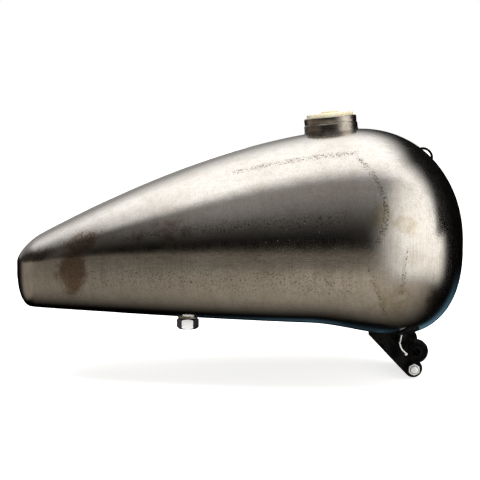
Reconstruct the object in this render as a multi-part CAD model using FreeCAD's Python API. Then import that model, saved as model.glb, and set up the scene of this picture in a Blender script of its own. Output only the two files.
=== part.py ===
import FreeCAD, Part
import math
import os

# Motorcycle fuel tank, raw steel, one piece, saddling the frame's backbone tube.
# Frame: millimetres, +X forward, +Y to the rider's left, +Z up.
# Origin: the front mounting axis, in the tank's plane of symmetry.

# ---- driving dimensions ----------------------------------------------------------------------

TAIL_X = -530.0              # rearmost point of the skin
NOSE_X = 63.5                # foremost point of the skin
SHEET = 1.2                  # thickness of the pressed steel skin

PEAK_X = -73.0               # where the ridge is highest
PEAK_Z = 291.7
RIDGE_FALL = 0.00762         # the ridge falls by RIDGE_FALL * distance ** RIDGE_POWER
RIDGE_POWER = 1.622

BELT_NOSE_Z = 138.0          # height of the widest line at the nose
BELT_TAIL_Z = 114.0          # and at the tail
BELT_POWER = 6.0

KEEL_TAIL_Z = 60.0           # height of the lower edge at the tail
KEEL_NOSE_Z = 34.0           # and at the nose, before the belly
BELLY_DROP = 14.0            # extra depth of the belly under the nose
BELLY_START_X = -145.0
BELLY_END_X = -25.0

HALF_WIDTH = 168.0           # at the widest place
HALF_WIDTH_X = -95.0
TAIL_HALF_WIDTH = 78.0
PLAN_POWER = 1.9

NOSE_TOP_POWER = 2.12        # superellipse powers of the rounded ends
NOSE_KEEL_X = -35.0
NOSE_KEEL_POWER = 2.3
NOSE_PLAN_POWER = 2.2
TAIL_TOP_ROUND = 31.0        # lengths over which the tail rounds off
TAIL_KEEL_ROUND = 23.0
TAIL_PLAN_ROUND = 34.0
TAIL_POWER = 2.0

CROWN_POWER = 2.35           # cross-section above the belt
LOWER_TAIL_POWER = 4.2       # cross-section below the belt, boxy at the tail
LOWER_NOSE_POWER = 2.6       # and rounder at the nose

TUNNEL_NOSE_HALF = 36.0      # half width of the frame tunnel, outside
TUNNEL_TAIL_HALF = 28.0
TUNNEL_NOSE_TOP = 150.0      # height of the tunnel's roof
TUNNEL_TAIL_TOP = 120.0
TUNNEL_SHEET = 1.5

NECK_X = -110.0              # filler neck, on the ridge
NECK_TILT = 5.5              # degrees, leaning back with the ridge
NECK_RADIUS = 35.0
NECK_HEIGHT = 19.5
NECK_STEP_HEIGHT = 10.0      # the neck is stepped down to its radius here
NECK_DEPTH = 12.0            # reach below the ridge, inside the tank
NECK_WALL = 3.7
NECK_LIP = 1.2               # rounding of the rim
NECK_SEAT_RADIUS = 27.0
NECK_SEAT_DEPTH = 9.0        # below the rim
NECK_FOOT_RADIUS = 35.7
NECK_FOOT_FLARE = 2.2
NECK_FOOT_HEIGHT = 3.0
NECK_FOOT_DEPTH = 8.0        # reach of the flare below the ridge, down the crowned skin
PLUG_PLAY = 0.15
PLUG_PROUD = 5.0
PLUG_WALL = 2.5
PULL_RADIUS = 11.0           # raised round pull in the middle of the plug
PULL_RISE = 3.0
PLUG_EDGE = 1.0

BAFFLE_SHEET = 1.0
BAFFLE_PLACES = {"front_baffle": -150.0, "rear_baffle": -330.0}
BAFFLE_HOLE_RADIUS = 20.0
BAFFLE_HOLE_SPREAD = 0.56    # place of the flow holes, as a share of the half width
BAFFLE_GAP = 0.6             # between a baffle's rim and the skin
BAFFLE_FLOOR_GAP = 18.0      # fuel passes under the baffles
BAFFLE_CROWN_GAP = 22.0      # and air over them

TAP_X = -300.0               # fuel tap outlet, in the floor of the right lobe
TAP_Y = -75.0
SPUD_COLLAR_RADIUS = 13.0
SPUD_COLLAR_HEIGHT = 13.0
SPUD_COLLAR_GAP = 0.6        # between the collar and the nut
SPUD_THREAD_RADIUS = 10.4
SPUD_BORE_RADIUS = 8.6
THREAD_PLAY = 0.05
TAP_NUT_FLATS = 25.0
TAP_NUT_HEIGHT = 14.0
TAP_NUT_TOP_Z = 48.5
TAP_NUT_CHAMFER = 1.6
TAP_SPUD_END_Z = 42.0
TAP_WASHER_THICKNESS = 1.5
TAP_THREAD_RADIUS = 8.3

PLATE_INNER_Y = 46.0         # front bracket plates, one each side of the tunnel
PLATE_THICKNESS = 4.0
EAR_RADIUS = 16.0
PLATE_REAR_X = -63.0
PLATE_REAR_Z = 22.0
PLATE_FRONT_X = -8.0
PLATE_TOP_Z = 82.0           # inside the skin, which trims the plate
TIE_X = -3.5                 # tie bolt through the lower ends of the plates
TIE_Z = -23.0
TIE_END_RADIUS = 12.0
BUSH_RADIUS = 11.0
BUSH_FLANGE_RADIUS = 14.0
BUSH_FLANGE = 2.5
SLEEVE_RADIUS = 7.0
MOUNT_BORE_RADIUS = 5.2
SLEEVE_PROUD = 6.0           # the sleeve's ends stand proud of the plates for the frame's lugs

STRUT_REAR_X = -27.0
STRUT_FRONT_X = -11.5
STRUT_THICKNESS = 3.0
STRUT_FOOT_Y = 107.0
STRUT_BEND_Z = 12.0
STRUT_END_Z = -6.0
STRUT_SINK = 4.0             # how far the leg is drawn into the belly before the skin trims it
FOOT_LENGTH = 29.0
FOOT_WIDTH = 20.0
FOOT_THICKNESS = 2.5
FOOT_SINK = 14.0             # the pad is drawn this far into the belly before the skin trims it

TIE_RADIUS = 4.7
TIE_NUT_FLATS = 14.3
TIE_NUT_HEIGHT = 8.4
TIE_NUT_CHAMFER = 1.2
TIE_HEAD_HEIGHT = 6.4
TIE_END_PROUD = 3.0
TIE_TIP = 1.0                # coned end of the bolt
TIE_HOLE_PLAY = 0.25
TIE_WASHER_RADIUS = 9.5
TIE_WASHER_THICKNESS = 1.5
CROSS_TUBE_RADIUS = 7.5

REAR_X = -488.0              # rear mounting hole
REAR_PLATE_LENGTH = 44.0
REAR_PLATE_THICKNESS = 4.0
REAR_PLATE_Z = 64.0
GROMMET_SEAT_RADIUS = 10.0
GROMMET_FLANGE_RADIUS = 15.0
GROMMET_FLANGE = 4.0
REAR_SLEEVE_PROUD = 1.0
REAR_SLEEVE_RADIUS = 6.0
REAR_BORE_RADIUS = 4.2

LOOP_X = 13.0                # cable guide loop on the ridge above the nose
LOOP_Z = 254.0
LOOP_RADIUS = 12.4
LOOP_WIRE_RADIUS = 1.65

STATIONS = 29                # cross-sections from tail to nose
SECTION_POINTS = 44          # points around each cross-section
END_GAP = 0.03               # distance of the first and last cross-section from the very end

X_AXIS = FreeCAD.Vector(1, 0, 0)
Y_AXIS = FreeCAD.Vector(0, 1, 0)
Z_AXIS = FreeCAD.Vector(0, 0, 1)
FAR = 1000.0                 # bigger than the tank, for cutting tools


# ---- form of the skin ------------------------------------------------------------------------

def vector(x, y, z):
    return FreeCAD.Vector(x, y, z)


def blend(share, start, end):
    return start + (end - start) * share


def round_off(distance, length, power):
    """Superellipse fall from 1 to 0 as distance runs from 0 to length."""
    share = min(max(distance / length, 0.0), 1.0)
    return (1.0 - share ** power) ** (1.0 / power)


def along(x):
    """Share of the way from the tail to the nose."""
    return min(max((x - TAIL_X) / (NOSE_X - TAIL_X), 0.0), 1.0)


def belt_height(x):
    return BELT_NOSE_Z - (BELT_NOSE_Z - BELT_TAIL_Z) * (1.0 - along(x)) ** BELT_POWER


def ridge_rise(x):
    """Height of the ridge above the belt line."""
    fall = RIDGE_FALL * max(0.0, PEAK_X - x) ** RIDGE_POWER
    nose = round_off(x - PEAK_X, NOSE_X - PEAK_X, NOSE_TOP_POWER)
    tail = round_off(TAIL_X + TAIL_TOP_ROUND - x, TAIL_TOP_ROUND, TAIL_POWER)
    return (PEAK_Z - fall - belt_height(x)) * nose * tail


def keel_drop(x):
    """Depth of the lower edge below the belt line."""
    share = min(max((x - BELLY_START_X) / (BELLY_END_X - BELLY_START_X), 0.0), 1.0)
    belly = BELLY_DROP * share * share * (3.0 - 2.0 * share)
    keel = blend(along(x), KEEL_TAIL_Z, KEEL_NOSE_Z) - belly
    nose = round_off(x - NOSE_KEEL_X, NOSE_X - NOSE_KEEL_X, NOSE_KEEL_POWER)
    tail = round_off(TAIL_X + TAIL_KEEL_ROUND - x, TAIL_KEEL_ROUND, TAIL_POWER)
    return (belt_height(x) - keel) * nose * tail


def half_width(x):
    share = min(max((x - TAIL_X) / (HALF_WIDTH_X - TAIL_X), 0.0), 1.0)
    width = HALF_WIDTH - (HALF_WIDTH - TAIL_HALF_WIDTH) * (1.0 - share) ** PLAN_POWER
    nose = round_off(x - HALF_WIDTH_X, NOSE_X - HALF_WIDTH_X, NOSE_PLAN_POWER)
    tail = round_off(TAIL_X + TAIL_PLAN_ROUND - x, TAIL_PLAN_ROUND, TAIL_POWER)
    return width * nose * tail


def signed_power(value, power):
    return math.copysign(abs(value) ** power, value)


def skin_point(x, angle, inset):
    """Point of the cross-section at x. Angle 0 is the right side's belt line, 90 degrees the ridge."""
    lower = blend(along(x) ** 3, LOWER_TAIL_POWER, LOWER_NOSE_POWER)
    up = math.sin(angle)
    power = 2.0 / (CROWN_POWER if up >= 0 else lower)
    # the inset never shrinks the section by more than nine tenths, so it can't vanish near the ends
    rise = ridge_rise(x) if up >= 0 else keel_drop(x)
    rise = max(rise - inset, 0.1 * rise)
    width = half_width(x)
    width = max(width - inset, 0.1 * width)
    y = -width * signed_power(math.cos(angle), power)
    z = belt_height(x) + rise * signed_power(up, power)
    return y, z


def skin_body(inset):
    """Solid bounded by the skin's surface, set in by inset on every side."""
    middle = 0.5 * (TAIL_X + NOSE_X)
    half_length = 0.5 * (NOSE_X - TAIL_X)
    first = math.acos(1.0 - END_GAP / half_length)
    shrink = (half_length - inset) / half_length
    rows = []
    for i in range(STATIONS):
        turn = blend(i / (STATIONS - 1), first, math.pi - first)
        x = middle - half_length * math.cos(turn)
        row = []
        for j in range(SECTION_POINTS + 1):
            angle = 2.0 * math.pi * j / SECTION_POINTS - 0.5 * math.pi
            y, z = skin_point(x, angle, inset)
            row.append(vector(middle + (x - middle) * shrink, y, z))
        row[-1] = row[0]
        rows.append(row)
    surface = Part.BSplineSurface()
    surface.interpolate(rows)
    side = surface.toShape()
    caps = []
    for edge in side.Edges:
        box = edge.BoundBox
        if box.XLength < 0.001:
            caps.append(Part.makeFilledFace([edge]))
    shell = Part.Shell([side] + caps)
    shell.sewShape()
    solid = Part.Solid(shell)
    if solid.Volume < 0:
        solid.reverse()
    return solid


def tunnel_profile(x, half, top, inset):
    """Inverted U: straight walls, a half-round roof, open well below the tank."""
    radius = half - inset
    spring_z = top - half
    bottom_z = -200.0
    roof = Part.Arc(
        vector(x, -radius, spring_z),
        vector(x, 0, spring_z + radius),
        vector(x, radius, spring_z),
    )
    corners = [
        vector(x, radius, spring_z),
        vector(x, radius, bottom_z),
        vector(x, -radius, bottom_z),
        vector(x, -radius, spring_z),
    ]
    sides = [Part.makeLine(corners[i], corners[i + 1]) for i in range(3)]
    return Part.Wire([roof.toShape()] + sides)


def tunnel_body(inset):
    """The tunnel as a solid bar, running past both ends of the tank."""
    over = 20.0
    slope_half = (TUNNEL_NOSE_HALF - TUNNEL_TAIL_HALF) / (NOSE_X - TAIL_X)
    slope_top = (TUNNEL_NOSE_TOP - TUNNEL_TAIL_TOP) / (NOSE_X - TAIL_X)
    rear = tunnel_profile(
        TAIL_X - over,
        TUNNEL_TAIL_HALF - slope_half * over,
        TUNNEL_TAIL_TOP - slope_top * over,
        inset,
    )
    front = tunnel_profile(
        NOSE_X + over,
        TUNNEL_NOSE_HALF + slope_half * over,
        TUNNEL_NOSE_TOP + slope_top * over,
        inset,
    )
    return Part.makeLoft([rear, front], True, True)


def half_space(side):
    """Everything on one side of the symmetry plane: side -1 is the rider's right, +1 the left."""
    corner = vector(-FAR, 0 if side > 0 else -FAR, -FAR)
    return Part.makeBox(2 * FAR, FAR, 2 * FAR, corner)


def rod(radius, start, end):
    path = end - start
    return Part.makeCylinder(radius, path.Length, start, path)


def ring(outer, inner, start, end):
    return rod(outer, start, end).cut(rod(inner, start, end))


def hexagon(flats, start, end, chamfer, first_corner):
    """Hexagonal bar along Y or Z with its corners turned down; first_corner is in degrees from X."""
    path = end - start
    corner_radius = flats / math.sqrt(3.0)
    spoke = X_AXIS * corner_radius
    points = []
    for i in range(7):
        turn = FreeCAD.Rotation(path, 60.0 * i + first_corner)
        points.append(start + turn.multVec(spoke))
    bar = Part.Face(Part.makePolygon(points)).extrude(path)
    # a drum with coned ends trims the hexagon's corners
    drum_radius = corner_radius + 0.01
    length = path.Length
    drum = Part.makeCylinder(drum_radius, length - 2 * chamfer, start + path * (chamfer / length), path)
    for near, away in ((start, path), (end, path * -1.0)):
        drum = drum.fuse(Part.makeCone(0.5 * flats, drum_radius, chamfer, near, away))
    return bar.common(drum)


def mirrored(shape):
    return shape.mirror(vector(0, 0, 0), Y_AXIS)


# ---- filler neck and plug --------------------------------------------------------------------

def neck_axis():
    lean = math.radians(NECK_TILT)
    return vector(-math.sin(lean), 0, math.cos(lean))


def neck_point(height):
    """Point on the neck's axis, height above the ridge."""
    base = vector(NECK_X, 0, belt_height(NECK_X) + ridge_rise(NECK_X))
    return base + neck_axis() * height


def neck_revolve(profile):
    """Solid of revolution about the neck's axis from (radius, height) corners."""
    points = [vector(r, 0, h) for r, h in profile]
    face = Part.Face(Part.makePolygon(points + points[:1]))
    solid = face.revolve(vector(0, 0, 0), Z_AXIS, 360)
    solid.Placement = FreeCAD.Placement(neck_point(0), FreeCAD.Rotation(Z_AXIS, neck_axis()))
    return solid


def filler_neck(outside):
    """Turned neck through the skin, with a seat for the plug and a flared foot on the skin."""
    bore = NECK_RADIUS - NECK_WALL
    seat = NECK_HEIGHT - NECK_SEAT_DEPTH
    # two chamfers stand in for each side of the rounded rim
    break_out = 0.35 * NECK_LIP
    profile = [
        (NECK_SEAT_RADIUS, -NECK_DEPTH),
        (NECK_RADIUS, -NECK_DEPTH),
        (NECK_RADIUS, NECK_HEIGHT - NECK_LIP),
        (NECK_RADIUS - break_out, NECK_HEIGHT - break_out),
        (NECK_RADIUS - NECK_LIP, NECK_HEIGHT),
        (bore + NECK_LIP, NECK_HEIGHT),
        (bore + break_out, NECK_HEIGHT - break_out),
        (bore, NECK_HEIGHT - NECK_LIP),
        (bore, seat),
        (NECK_SEAT_RADIUS, seat),
    ]
    tube = neck_revolve(profile)
    core = NECK_RADIUS - 0.5 * NECK_WALL
    step = NECK_FOOT_RADIUS - NECK_RADIUS
    foot_profile = [
        (core, -NECK_FOOT_DEPTH),
        (NECK_FOOT_RADIUS + NECK_FOOT_FLARE, -NECK_FOOT_DEPTH),
        (NECK_FOOT_RADIUS + NECK_FOOT_FLARE, 0.0),
        (NECK_FOOT_RADIUS + 0.3 * NECK_FOOT_FLARE, 0.35 * NECK_FOOT_HEIGHT),
        (NECK_FOOT_RADIUS, NECK_FOOT_HEIGHT),
        (NECK_FOOT_RADIUS, NECK_STEP_HEIGHT - step),
        (NECK_RADIUS, NECK_STEP_HEIGHT),
        (core, NECK_STEP_HEIGHT),
    ]
    foot = neck_revolve(foot_profile).cut(outside)
    return tube.fuse(foot).removeSplitter()


def neck_hole():
    return rod(NECK_RADIUS, neck_point(-3 * NECK_DEPTH), neck_point(3 * NECK_DEPTH))


def filler_plug():
    """Moulded plug: a cup turned upside down in the neck, with a round pull on top."""
    radius = NECK_RADIUS - NECK_WALL - PLUG_PLAY
    seat = NECK_HEIGHT - NECK_SEAT_DEPTH
    top = NECK_HEIGHT + PLUG_PROUD
    profile = [
        (0.0, top - PLUG_WALL),
        (radius - PLUG_WALL, top - PLUG_WALL),
        (radius - PLUG_WALL, seat),
        (radius, seat),
        (radius, top - PLUG_EDGE),
        (radius - PLUG_EDGE, top),
        (PULL_RADIUS + PLUG_EDGE, top),
        (PULL_RADIUS, top + PULL_RISE - PLUG_EDGE),
        (PULL_RADIUS - PLUG_EDGE, top + PULL_RISE),
        (0.0, top + PULL_RISE),
    ]
    return neck_revolve(profile)


# ---- baffles ---------------------------------------------------------------------------------

def baffle(x, inside, tunnel):
    """Anti-slosh plate across both lobes, standing on the tunnel, with flow holes."""
    floor_z = belt_height(x) - keel_drop(x) + BAFFLE_FLOOR_GAP
    crown_z = belt_height(x) + ridge_rise(x) - BAFFLE_CROWN_GAP
    slab = Part.makeBox(BAFFLE_SHEET, 2 * FAR, crown_z - floor_z, vector(x, -FAR, floor_z))
    plate = inside.common(slab).cut(tunnel)
    hole_y = BAFFLE_HOLE_SPREAD * half_width(x)
    hole_z = belt_height(x)
    for y in (-hole_y, hole_y):
        plate = plate.cut(rod(BAFFLE_HOLE_RADIUS, vector(x - 1, y, hole_z), vector(x + 4, y, hole_z)))
    return plate


# ---- fuel tap outlet -------------------------------------------------------------------------

def tap_place(z):
    return vector(TAP_X, TAP_Y, z)


def tap_spud():
    """Threaded spud welded into the floor: collar through the skin, thread below it."""
    collar_low = TAP_NUT_TOP_Z + SPUD_COLLAR_GAP
    collar_high = collar_low + SPUD_COLLAR_HEIGHT
    collar = rod(SPUD_COLLAR_RADIUS, tap_place(collar_low), tap_place(collar_high))
    thread = rod(SPUD_THREAD_RADIUS, tap_place(TAP_SPUD_END_Z), tap_place(collar_high))
    bore = rod(SPUD_BORE_RADIUS, tap_place(TAP_SPUD_END_Z - 1), tap_place(collar_high + 1))
    return collar.fuse(thread).cut(bore).removeSplitter()


def tap_washer():
    low = TAP_SPUD_END_Z - TAP_WASHER_THICKNESS
    outer = SPUD_THREAD_RADIUS - 0.1
    return ring(outer, SPUD_BORE_RADIUS, tap_place(low), tap_place(TAP_SPUD_END_Z))


def tap_nut():
    """Union nut: the upper thread holds the spud, the lower thread takes the fuel tap."""
    low = TAP_NUT_TOP_Z - TAP_NUT_HEIGHT
    body = hexagon(TAP_NUT_FLATS, tap_place(low), tap_place(TAP_NUT_TOP_Z), TAP_NUT_CHAMFER, 0.0)
    shoulder = TAP_SPUD_END_Z - TAP_WASHER_THICKNESS
    upper = rod(SPUD_THREAD_RADIUS + THREAD_PLAY, tap_place(shoulder), tap_place(TAP_NUT_TOP_Z + 1))
    lower = rod(TAP_THREAD_RADIUS, tap_place(low - 1), tap_place(shoulder + 1))
    return body.cut(upper).cut(lower)


# ---- front mounting brackets (built on the right, mirrored for the left) ---------------------

def front_bracket(outside):
    """Side plate: sloping gusset, rounded lower end for the tie bolt and a round ear for the bush."""
    y = -PLATE_INNER_Y
    thick = vector(0, -PLATE_THICKNESS, 0)
    reach_x = TIE_X - PLATE_REAR_X
    reach_z = TIE_Z - PLATE_REAR_Z
    reach = math.hypot(reach_x, reach_z)
    # tangent from the plate's rear corner to the rounded lower end
    heading = math.atan2(reach_z, reach_x) - math.asin(TIE_END_RADIUS / reach)
    run = math.sqrt(reach ** 2 - TIE_END_RADIUS ** 2)
    touch = vector(PLATE_REAR_X + run * math.cos(heading), y, PLATE_REAR_Z + run * math.sin(heading))
    corners = [
        vector(PLATE_REAR_X, y, PLATE_REAR_Z),
        touch,
        vector(TIE_X, y, TIE_Z),
        vector(0, y, 0),
        vector(PLATE_FRONT_X, y, 0.8 * EAR_RADIUS),
        vector(PLATE_FRONT_X, y, PLATE_TOP_Z),
        vector(PLATE_REAR_X, y, PLATE_TOP_Z),
    ]
    plate = Part.Face(Part.makePolygon(corners + corners[:1])).extrude(thick)
    ear = rod(EAR_RADIUS, vector(0, y, 0), vector(0, y, 0) + thick)
    lower_end = rod(TIE_END_RADIUS, vector(TIE_X, y, TIE_Z), vector(TIE_X, y, TIE_Z) + thick)
    plate = plate.fuse([ear, lower_end])
    plate = plate.cut(rod(BUSH_RADIUS, vector(0, 0, 0), vector(0, -FAR, 0)))
    tie_hole = TIE_RADIUS + TIE_HOLE_PLAY
    plate = plate.cut(rod(tie_hole, vector(TIE_X, 0, TIE_Z), vector(TIE_X, -FAR, TIE_Z)))
    return plate.cut(outside).removeSplitter()


def foot_frame():
    """Place and outward normal of the strut's foot on the right lobe's belly."""
    x = 0.5 * (STRUT_REAR_X + STRUT_FRONT_X)
    place = belly_point(x, STRUT_FOOT_Y)
    outboard = belly_point(x, STRUT_FOOT_Y + 0.5) - place
    forward = belly_point(x + 0.5, STRUT_FOOT_Y) - place
    normal = forward.cross(outboard)
    normal.normalize()
    return place, normal


def belly_point(x, distance):
    """Point on the right lobe's belly, distance away from the symmetry plane."""
    low = -0.5 * math.pi
    high = 0.0
    for _ in range(40):
        middle = 0.5 * (low + high)
        y, z = skin_point(x, middle, 0.0)
        if -y < distance:
            low = middle
        else:
            high = middle
    return vector(x, y, z)


def front_foot(outside):
    """Oval pad welded to the belly under the strut."""
    place, normal = foot_frame()
    oval = Part.Ellipse(vector(0, 0, 0), 0.5 * FOOT_LENGTH, 0.5 * FOOT_WIDTH)
    pad = Part.Face(Part.Wire([oval.toShape()])).extrude(vector(0, 0, FOOT_SINK + FOOT_THICKNESS))
    turn = FreeCAD.Rotation(X_AXIS, Y_AXIS, normal, "ZXY")
    pad.Placement = FreeCAD.Placement(place - normal * FOOT_SINK, turn)
    return pad.cut(outside)


def front_strut(outside, foot):
    """Bent strap from the foot down to the plate's outer face, lying flat on its lower end."""
    place, normal = foot_frame()
    outer_y = -(PLATE_INNER_Y + PLATE_THICKNESS)
    bend = vector(0, outer_y, STRUT_BEND_Z)
    top = vector(0, place.y, place.z) - vector(0, normal.y, normal.z) * STRUT_SINK
    lean = top - bend
    lean.normalize()
    outward = vector(0, -lean.z, lean.y) * STRUT_THICKNESS
    thick = vector(0, -STRUT_THICKNESS, 0)
    outer_top = top + outward
    outer_bend = bend + thick - Z_AXIS * (0.35 * STRUT_THICKNESS)
    corners = [
        vector(0, outer_y, STRUT_END_Z),
        bend,
        top,
        outer_top,
        outer_bend,
        vector(0, outer_y, STRUT_END_Z) + thick,
    ]
    width = STRUT_FRONT_X - STRUT_REAR_X
    leg = Part.Face(Part.makePolygon(corners + corners[:1])).extrude(vector(width, 0, 0))
    leg.translate(vector(STRUT_REAR_X, 0, 0))
    return leg.cut(outside).cut(foot)


def isolator():
    """Rubber bush in the ear: a ring through the plate, with a flange on the inner side."""
    inner = -PLATE_INNER_Y
    outer = inner - PLATE_THICKNESS
    body = rod(BUSH_RADIUS, vector(0, inner, 0), vector(0, outer - BUSH_FLANGE, 0))
    flange = rod(BUSH_FLANGE_RADIUS, vector(0, inner + BUSH_FLANGE, 0), vector(0, inner, 0))
    bore = rod(SLEEVE_RADIUS, vector(0, inner + FAR, 0), vector(0, inner - FAR, 0))
    return body.fuse(flange).cut(bore).removeSplitter()


def front_sleeve():
    """One long sleeve through both bushes: the mounting bolt clamps it between the frame's lugs."""
    end = vector(0, PLATE_INNER_Y + PLATE_THICKNESS + SLEEVE_PROUD, 0)
    return ring(SLEEVE_RADIUS, MOUNT_BORE_RADIUS, end * -1.0, end)


# ---- tie bolt between the plates -------------------------------------------------------------

def tie_place(y):
    return vector(TIE_X, y, TIE_Z)


def tie_washer(side):
    face = side * (PLATE_INNER_Y + PLATE_THICKNESS)
    far_face = face + side * TIE_WASHER_THICKNESS
    return ring(TIE_WASHER_RADIUS, TIE_RADIUS + THREAD_PLAY, tie_place(face), tie_place(far_face))


def tie_nut():
    start = -(PLATE_INNER_Y + PLATE_THICKNESS + TIE_WASHER_THICKNESS)
    end = start - TIE_NUT_HEIGHT
    body = hexagon(TIE_NUT_FLATS, tie_place(start), tie_place(end), TIE_NUT_CHAMFER, 30.0)
    return body.cut(rod(TIE_RADIUS + THREAD_PLAY, tie_place(start + 1), tie_place(end - 1)))


def tie_bolt():
    head_face = PLATE_INNER_Y + PLATE_THICKNESS + TIE_WASHER_THICKNESS
    head_end = head_face + TIE_HEAD_HEIGHT
    head = hexagon(TIE_NUT_FLATS, tie_place(head_face), tie_place(head_end), TIE_NUT_CHAMFER, 30.0)
    tip_y = -(head_face + TIE_NUT_HEIGHT + TIE_END_PROUD - TIE_TIP)
    shank = rod(TIE_RADIUS, tie_place(head_face), tie_place(tip_y))
    tip = Part.makeCone(TIE_RADIUS, TIE_RADIUS - 0.8 * TIE_TIP, TIE_TIP, tie_place(tip_y), Y_AXIS * -1.0)
    return head.fuse([shank, tip]).removeSplitter()


def cross_tube():
    """Tube welded between the two plates, round the tie bolt."""
    play = TIE_RADIUS + TIE_HOLE_PLAY
    return ring(CROSS_TUBE_RADIUS, play, tie_place(-PLATE_INNER_Y), tie_place(PLATE_INNER_Y))


# ---- rear mounting ---------------------------------------------------------------------------

def rear_bracket(channel):
    """Cross plate welded between the tunnel's walls, with the grommet's hole."""
    corner = vector(REAR_X - 0.5 * REAR_PLATE_LENGTH, -FAR, REAR_PLATE_Z)
    plate = Part.makeBox(REAR_PLATE_LENGTH, 2 * FAR, REAR_PLATE_THICKNESS, corner).common(channel)
    hole = rod(GROMMET_SEAT_RADIUS, vector(REAR_X, 0, 0), vector(REAR_X, 0, FAR))
    return plate.cut(hole)


def rear_grommet():
    low = vector(REAR_X, 0, REAR_PLATE_Z)
    high = vector(REAR_X, 0, REAR_PLATE_Z + REAR_PLATE_THICKNESS)
    flange = vector(0, 0, GROMMET_FLANGE)
    waist = rod(GROMMET_SEAT_RADIUS, low, high)
    lower = rod(GROMMET_FLANGE_RADIUS, low - flange, low)
    upper = rod(GROMMET_FLANGE_RADIUS, high, high + flange)
    bore = rod(REAR_SLEEVE_RADIUS, low - flange * 2, high + flange * 2)
    return waist.fuse([lower, upper]).cut(bore).removeSplitter()


def rear_sleeve():
    overhang = GROMMET_FLANGE + REAR_SLEEVE_PROUD
    low = vector(REAR_X, 0, REAR_PLATE_Z - overhang)
    high = vector(REAR_X, 0, REAR_PLATE_Z + REAR_PLATE_THICKNESS + overhang)
    return ring(REAR_SLEEVE_RADIUS, REAR_BORE_RADIUS, low, high)


# ---- cable guide loop ------------------------------------------------------------------------

def cable_loop(outside):
    """Wire ring set edge-on in the ridge, welded where it meets the skin."""
    wire = Part.makeTorus(LOOP_RADIUS, LOOP_WIRE_RADIUS, vector(LOOP_X, 0, LOOP_Z), Y_AXIS)
    return wire.cut(outside)


# ---- assembly --------------------------------------------------------------------------------

def largest_solid(shape):
    return max(shape.Solids, key=lambda solid: solid.Volume)


def build():
    outside = skin_body(0.0)
    inside = skin_body(SHEET)
    tunnel = tunnel_body(0.0)
    channel = tunnel_body(TUNNEL_SHEET)
    collar = rod(SPUD_COLLAR_RADIUS, tap_place(0), tap_place(TAP_NUT_TOP_Z + 40))

    skin = outside.cut(inside).cut(tunnel).cut(neck_hole())
    foot = front_foot(outside)
    parts = {
        "right_shell": skin.common(half_space(-1)).cut(collar),
        "left_shell": skin.common(half_space(1)),
        "frame_tunnel": tunnel.cut(channel).common(outside),
        "filler_neck": filler_neck(outside),
        "filler_plug": filler_plug(),
        "tap_spud": tap_spud(),
        "tap_washer": tap_washer(),
        "tap_nut": tap_nut(),
        "front_bracket_right": front_bracket(outside),
        "front_foot_right": foot,
        "front_strut_right": front_strut(outside, foot),
        "isolator_right": isolator(),
        "front_sleeve": front_sleeve(),
        "washer_nut_side": tie_washer(-1),
        "washer_head_side": tie_washer(1),
        "tie_nut": tie_nut(),
        "tie_bolt": tie_bolt(),
        "cross_tube": cross_tube(),
        "rear_bracket": rear_bracket(channel),
        "rear_grommet": rear_grommet(),
        "rear_sleeve": rear_sleeve(),
        "cable_loop": cable_loop(outside),
    }
    room = skin_body(SHEET + BAFFLE_GAP)
    for name, x in BAFFLE_PLACES.items():
        parts[name] = baffle(x, room, tunnel)
    for name in [name for name in parts if name.endswith("_right")]:
        parts[name.replace("_right", "_left")] = mirrored(parts[name])
    return parts


os.makedirs("parts", exist_ok=True)
for name, shape in build().items():
    solid = largest_solid(shape)
    solid.exportStep("parts/" + name + ".step")
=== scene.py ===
"""Looks of the raw steel motorcycle fuel tank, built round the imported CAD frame.

Lengths are millimetres in the CAD frame (+X forward, +Y to the rider's left, +Z up) and are turned
into metres only where a mesh, light or camera is made.
"""
import math

import bmesh
import bpy
import numpy as np
from mathutils import Matrix, Vector, noise


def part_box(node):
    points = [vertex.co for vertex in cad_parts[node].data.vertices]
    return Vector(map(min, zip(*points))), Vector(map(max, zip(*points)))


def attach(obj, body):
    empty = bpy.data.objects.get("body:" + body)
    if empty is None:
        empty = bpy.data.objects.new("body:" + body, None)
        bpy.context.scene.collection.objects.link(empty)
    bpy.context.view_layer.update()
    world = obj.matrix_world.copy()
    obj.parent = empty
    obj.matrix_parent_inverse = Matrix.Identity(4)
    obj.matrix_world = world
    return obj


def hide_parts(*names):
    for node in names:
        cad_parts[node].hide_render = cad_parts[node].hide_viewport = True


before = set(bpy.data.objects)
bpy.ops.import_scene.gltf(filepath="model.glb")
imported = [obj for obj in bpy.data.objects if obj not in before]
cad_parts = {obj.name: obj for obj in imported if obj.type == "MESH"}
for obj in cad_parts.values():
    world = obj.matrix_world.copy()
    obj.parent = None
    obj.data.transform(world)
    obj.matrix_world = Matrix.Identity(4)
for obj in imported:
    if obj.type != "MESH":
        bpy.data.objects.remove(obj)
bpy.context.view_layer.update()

MM = 0.001

# ---- form of the skin, as in the CAD design ----------------------------------------------------

TAIL_X = -530.0
NOSE_X = 63.5
SHEET = 1.2
PEAK_X = -73.0
PEAK_Z = 291.7
RIDGE_FALL = 0.00762
RIDGE_POWER = 1.622
BELT_NOSE_Z = 138.0
BELT_TAIL_Z = 114.0
BELT_POWER = 6.0
KEEL_TAIL_Z = 60.0
KEEL_NOSE_Z = 34.0
BELLY_DROP = 14.0
BELLY_START_X = -145.0
BELLY_END_X = -25.0
HALF_WIDTH = 168.0
HALF_WIDTH_X = -95.0
TAIL_HALF_WIDTH = 78.0
PLAN_POWER = 1.9
NOSE_TOP_POWER = 2.12
NOSE_KEEL_X = -35.0
NOSE_KEEL_POWER = 2.3
NOSE_PLAN_POWER = 2.2
TAIL_TOP_ROUND = 31.0
TAIL_KEEL_ROUND = 23.0
TAIL_PLAN_ROUND = 34.0
TAIL_POWER = 2.0
CROWN_POWER = 2.35
LOWER_TAIL_POWER = 4.2
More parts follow.
